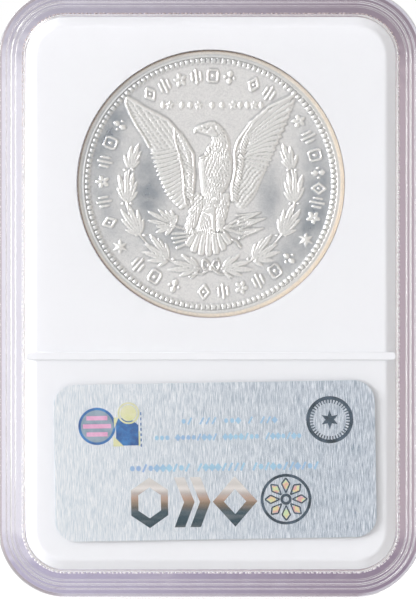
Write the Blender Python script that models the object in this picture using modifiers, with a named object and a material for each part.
"""Graded coin slab: a sealed clear case that holds one large silver coin in a white insert.

The slab stands upright on its lower edge. Its rear faces -Y and shows the coin's reverse above
a foil label; its front faces +Y and shows the obverse and a paper label. Units are metres, +Z is
up, and the origin is on the standing surface, under the middle of the slab.
"""

import math

import bmesh
import bpy

MM = 0.001

# Case
CASE_WIDTH = 60.3 * MM
CASE_HEIGHT = 86.3 * MM
CASE_THICKNESS = 8.0 * MM
CASE_CORNER_R = 9.5 * MM
SEAM_GAP = 0.3 * MM             # between the two shells
SEAM_EDGE_R = 0.2 * MM

# Case profile, as insets from the outer edge
RIM_INSET = 1.05 * MM           # the low ledge ends and the stacking rim starts
RIM_GROOVE_INSET = 1.6 * MM
RIM_GROOVE_WIDTH = 0.25 * MM
RECESS_INSET = 2.2 * MM         # the rim ends and slopes down to the window
WINDOW_INSET = 2.5 * MM
CAVITY_INSET = 3.5 * MM

# Case profile, as distances from the seam plane
LEDGE_Y = 3.0 * MM
WINDOW_OUTER_Y = 3.3 * MM
WINDOW_INNER_Y = 2.2 * MM
RIM_EDGE_R = 0.25 * MM
RIM_GROOVE_DEPTH = 0.3 * MM

# Tongue on the rear shell's seam face, in a groove in the front shell's
TONGUE_INSET = 1.3 * MM
TONGUE_WIDTH = 0.7 * MM
TONGUE_ROOT_Y = 0.6 * MM
TONGUE_TIP_Y = 0.7 * MM
GROOVE_CLEARANCE = 0.3 * MM

# White insert
INSERT_GAP = 0.3 * MM
INSERT_THICKNESS = 3.0 * MM
INSERT_EDGE_R = 1.3 * MM
RIB_Z = 34.2 * MM
RIB_WIDTH = 1.12 * MM
RIB_PROUD = 0.35 * MM

# Coin
COIN_R = 19.05 * MM
COIN_THICKNESS = 2.4 * MM
COIN_Z = 58.7 * MM
COIN_RIM_WIDTH = 1.1 * MM
COIN_RIM_EDGE_R = 0.2 * MM
COIN_FIELD_DEPTH = 0.15 * MM
COIN_GAP = 0.2 * MM             # in the insert's bore
ROUND_STEPS = 96

# Labels
FOIL_SIZE = (45.7 * MM, 22.3 * MM)
FOIL_THICKNESS = 0.1 * MM
FOIL_CORNER_R = 3.0 * MM
FOIL_CENTRE = (0.6 * MM, 19.3 * MM)
FOIL_TILT = math.radians(0.95)
FOIL_TO_WINDOW = 0.1 * MM
PAPER_SIZE = (47.5 * MM, 24.0 * MM)
PAPER_THICKNESS = 0.25 * MM
PAPER_CORNER_R = 1.0 * MM
PAPER_Z = 18.6 * MM
PAPER_TO_INSERT = 0.1 * MM

CORNER_STEPS = 8
OVERSHOOT = 1.0 * MM            # how far a cutter runs past the face that it opens
REAR = -1
FRONT = 1


def clear_scene():
    """Remove whatever the start-up scene holds."""
    for item in list(bpy.data.objects):
        bpy.data.objects.remove(item, do_unlink=True)


def new_collection(name):
    """Add an empty collection to the scene."""
    collection = bpy.data.collections.new(name)
    bpy.context.scene.collection.children.link(collection)
    return collection


def make_material(name, colour, roughness, metallic=0.0, transmission=0.0):
    """Make a Principled material from a linear colour."""
    material = bpy.data.materials.new(name)
    material.use_nodes = True
    shader = material.node_tree.nodes["Principled BSDF"]
    shader.inputs["Base Color"].default_value = (*colour, 1.0)
    shader.inputs["Roughness"].default_value = roughness
    shader.inputs["Metallic"].default_value = metallic
    shader.inputs["Transmission Weight"].default_value = transmission
    return material


def add_object(name, mesh, collection):
    """Wrap a mesh in an object and put it in a collection."""
    item = bpy.data.objects.new(name, mesh)
    collection.objects.link(item)
    return item


def hide_cutter(item):
    """Keep a helper shape out of the render and draw it as wire."""
    item.hide_render = True
    item.display_type = "WIRE"
    return item


def bevel_edges(item, width, segments):
    """Round every sharp edge of an object."""
    bevel = item.modifiers.new("Rounded edges", "BEVEL")
    bevel.width = width
    bevel.segments = segments
    bevel.limit_method = "ANGLE"
    bevel.angle_limit = math.radians(40)


def combine(item, other, operation):
    """Join another object to this one, or cut this one with it."""
    boolean = item.modifiers.new(f"{operation.title()} {other.name}", "BOOLEAN")
    boolean.operation = operation
    boolean.solver = "EXACT"
    boolean.object = other


def rounded_block(name, size, y_span, corner_r, collection):
    """Make a block with rounded corners, centred on its own origin across X and Z.

    size is its width and height, and y_span its two faces' distances along Y.
    """
    y_low, y_high = sorted(y_span)
    shape = bmesh.new()
    bmesh.ops.create_cube(shape, size=1.0)
    bmesh.ops.scale(shape, vec=(size[0], y_high - y_low, size[1]), verts=shape.verts)
    bmesh.ops.translate(shape, vec=(0.0, (y_low + y_high) / 2, 0.0), verts=shape.verts)
    upright = [edge for edge in shape.edges
               if abs((edge.verts[0].co - edge.verts[1].co).normalized().y) > 0.9]
    bmesh.ops.bevel(shape, geom=upright, offset=corner_r, segments=CORNER_STEPS,
                    profile=0.5, affect="EDGES")
    mesh = bpy.data.meshes.new(name)
    shape.to_mesh(mesh)
    shape.free()
    return add_object(name, mesh, collection)


def case_block(name, inset, y_span, collection):
    """Make a block that follows the case's outline at an inset from its outer edge."""
    size = (CASE_WIDTH - 2 * inset, CASE_HEIGHT - 2 * inset)
    item = rounded_block(name, size, y_span, CASE_CORNER_R - inset, collection)
    item.location.z = CASE_HEIGHT / 2
    return item


def case_ring(name, inset, width, y_span, cutters):
    """Make a ring that follows the case's outline, from an inset inwards by a width."""
    ring = case_block(name, inset, y_span, cutters)
    low, high = sorted(y_span)
    core_span = (low - OVERSHOOT, high + OVERSHOOT)
    core = hide_cutter(case_block(f"{name}_core", inset + width, core_span, cutters))
    combine(ring, core, "DIFFERENCE")
    return hide_cutter(ring)


def window_recess(side, cutters):
    """Make the cutter that opens the recess inside the rim, with sloping sides."""
    floor_y = side * WINDOW_OUTER_Y
    rim_y = side * CASE_THICKNESS / 2
    outer_y = rim_y + side * OVERSHOOT
    slope = (WINDOW_INSET - RECESS_INSET) / (rim_y - floor_y)
    outer_inset = RECESS_INSET - slope * (outer_y - rim_y)
    recess = case_block(f"recess_{side}", outer_inset, (floor_y, outer_y), cutters)
    floor = case_block(f"recess_floor_{side}", WINDOW_INSET, (floor_y, outer_y), cutters)
    for vertex, floor_vertex in zip(recess.data.vertices, floor.data.vertices):
        if abs(vertex.co.y - floor_y) < OVERSHOOT / 10:
            vertex.co = floor_vertex.co
    bpy.data.objects.remove(floor)
    return hide_cutter(recess)


def build_shell(name, side, material, parts, cutters):
    """Build one half of the case: side wall, ledge, stacking rim and window."""
    shell = case_block(name, 0.0, (side * SEAM_GAP / 2, side * LEDGE_Y), parts)
    bevel_edges(shell, SEAM_EDGE_R, 2)
    rim_span = (side * LEDGE_Y / 2, side * CASE_THICKNESS / 2)
    rim = hide_cutter(case_block(f"rim_{side}", RIM_INSET, rim_span, cutters))
    bevel_edges(rim, RIM_EDGE_R, 3)
    combine(shell, rim, "UNION")
    combine(shell, window_recess(side, cutters), "DIFFERENCE")
    groove_span = (side * (CASE_THICKNESS / 2 - RIM_GROOVE_DEPTH),
                   side * (CASE_THICKNESS / 2 + OVERSHOOT))
    groove = case_ring(f"rim_groove_{side}", RIM_GROOVE_INSET, RIM_GROOVE_WIDTH,
                       groove_span, cutters)
    combine(shell, groove, "DIFFERENCE")
    cavity_span = (-side * OVERSHOOT, side * WINDOW_INNER_Y)
    cavity = hide_cutter(case_block(f"cavity_{side}", CAVITY_INSET, cavity_span, cutters))
    combine(shell, cavity, "DIFFERENCE")
    shell.data.materials.append(material)
    return shell


def build_rear_shell(material, parts, cutters):
    """Build the rear half, with the tongue that locates it in the front half."""
    shell = build_shell("rear_shell", REAR, material, parts, cutters)
    tongue = case_ring("tongue", TONGUE_INSET, TONGUE_WIDTH,
                       (REAR * TONGUE_ROOT_Y, FRONT * TONGUE_TIP_Y), cutters)
    combine(shell, tongue, "UNION")
    return shell


def build_front_shell(material, parts, cutters):
    """Build the front half, with the groove for the rear half's tongue."""
    shell = build_shell("front_shell", FRONT, material, parts, cutters)
    groove = case_ring("groove", TONGUE_INSET - GROOVE_CLEARANCE,
                       TONGUE_WIDTH + 2 * GROOVE_CLEARANCE,
                       (-OVERSHOOT, TONGUE_TIP_Y + GROOVE_CLEARANCE), cutters)
    combine(shell, groove, "DIFFERENCE")
    return shell


def build_insert(material, parts, cutters):
    """Build the white insert: a plate with rounded edges, a bore and a rib on each face."""
    inset = CAVITY_INSET + INSERT_GAP
    half = INSERT_THICKNESS / 2
    insert = case_block("coin_insert", inset, (-half, half), parts)
    bevel_edges(insert, INSERT_EDGE_R, 4)
    rib_size = (CASE_WIDTH - 2 * inset, RIB_WIDTH)
    for side in (REAR, FRONT):
        rib_span = (side * half / 4, side * (half + RIB_PROUD))
        rib = hide_cutter(rounded_block(f"rib_{side}", rib_size, rib_span,
                                        RIB_WIDTH / 4, cutters))
        rib.location.z = RIB_Z
        combine(insert, rib, "UNION")
    bpy.ops.mesh.primitive_cylinder_add(
        vertices=ROUND_STEPS, radius=COIN_R + COIN_GAP, depth=2 * INSERT_THICKNESS,
        location=(0.0, 0.0, COIN_Z), rotation=(math.pi / 2, 0.0, 0.0))
    bore = hide_cutter(bpy.context.object)
    bore.name = "bore"
    bpy.context.collection.objects.unlink(bore)
    cutters.objects.link(bore)
    combine(insert, bore, "DIFFERENCE")
    insert.data.materials.append(material)
    return insert


def coin_profile():
    """Give the coin's half section as radius and height, down its outer side."""
    top = COIN_THICKNESS / 2
    field = top - COIN_FIELD_DEPTH
    rim_inner = COIN_R - COIN_RIM_WIDTH
    upper = [(0.0, field), (rim_inner - COIN_FIELD_DEPTH, field), (rim_inner, top),
             (COIN_R - COIN_RIM_EDGE_R, top), (COIN_R, top - COIN_RIM_EDGE_R)]
    lower = [(radius, -height) for radius, height in reversed(upper)]
    return upper + lower


def build_coin(material, parts):
    """Build the coin as a turned disc with a raised rim on both faces."""
    points = [(radius, 0.0, height) for radius, height in coin_profile()]
    edges = [(index, index + 1) for index in range(len(points) - 1)]
    mesh = bpy.data.meshes.new("coin")
    mesh.from_pydata(points, edges, [])
    mesh.materials.append(material)
    coin = add_object("coin", mesh, parts)
    screw = coin.modifiers.new("Turned", "SCREW")
    screw.axis = "Z"
    screw.steps = ROUND_STEPS
    screw.render_steps = ROUND_STEPS
    screw.use_merge_vertices = True
    screw.merge_threshold = 0.001 * MM
    coin.rotation_euler.x = math.pi / 2
    coin.location.z = COIN_Z
    return coin


def build_foil_label(material, parts):
    """Build the foil label behind the rear window, laid on very slightly askew."""
    outer_y = WINDOW_INNER_Y - FOIL_TO_WINDOW
    label = rounded_block("security_foil_label", FOIL_SIZE,
                          (REAR * outer_y, REAR * (outer_y - FOIL_THICKNESS)),
                          FOIL_CORNER_R, parts)
    label.location = (FOIL_CENTRE[0], 0.0, FOIL_CENTRE[1])
    label.rotation_euler.y = -FOIL_TILT
    label.data.materials.append(material)
    return label


def build_paper_label(material, parts):
    """Build the paper label that lies on the insert behind the front window."""
    inner_y = INSERT_THICKNESS / 2 + PAPER_TO_INSERT
    label = rounded_block("certificate_label", PAPER_SIZE,
                          (FRONT * inner_y, FRONT * (inner_y + PAPER_THICKNESS)),
                          PAPER_CORNER_R, parts)
    label.location.z = PAPER_Z
    label.data.materials.append(material)
    return label


def main():
    """Build every piece of the slab."""
    clear_scene()
    parts = new_collection("graded_coin_slab")
    cutters = new_collection("cutters")
    clear = make_material("clear_plastic", (0.90, 0.87, 0.93), 0.05, transmission=1.0)
    white = make_material("white_insert", (0.88, 0.88, 0.92), 0.45)
    silver = make_material("struck_silver", (0.80, 0.80, 0.79), 0.25, metallic=1.0)
    foil = make_material("brushed_foil", (0.68, 0.70, 0.72), 0.30, metallic=1.0)
    paper = make_material("label_paper", (0.82, 0.84, 0.88), 0.70)
    build_rear_shell(clear, parts, cutters)
    build_front_shell(clear, parts, cutters)
    build_insert(white, parts, cutters)
    build_coin(silver, parts)
    build_foil_label(foil, parts)
    build_paper_label(paper, parts)


main()
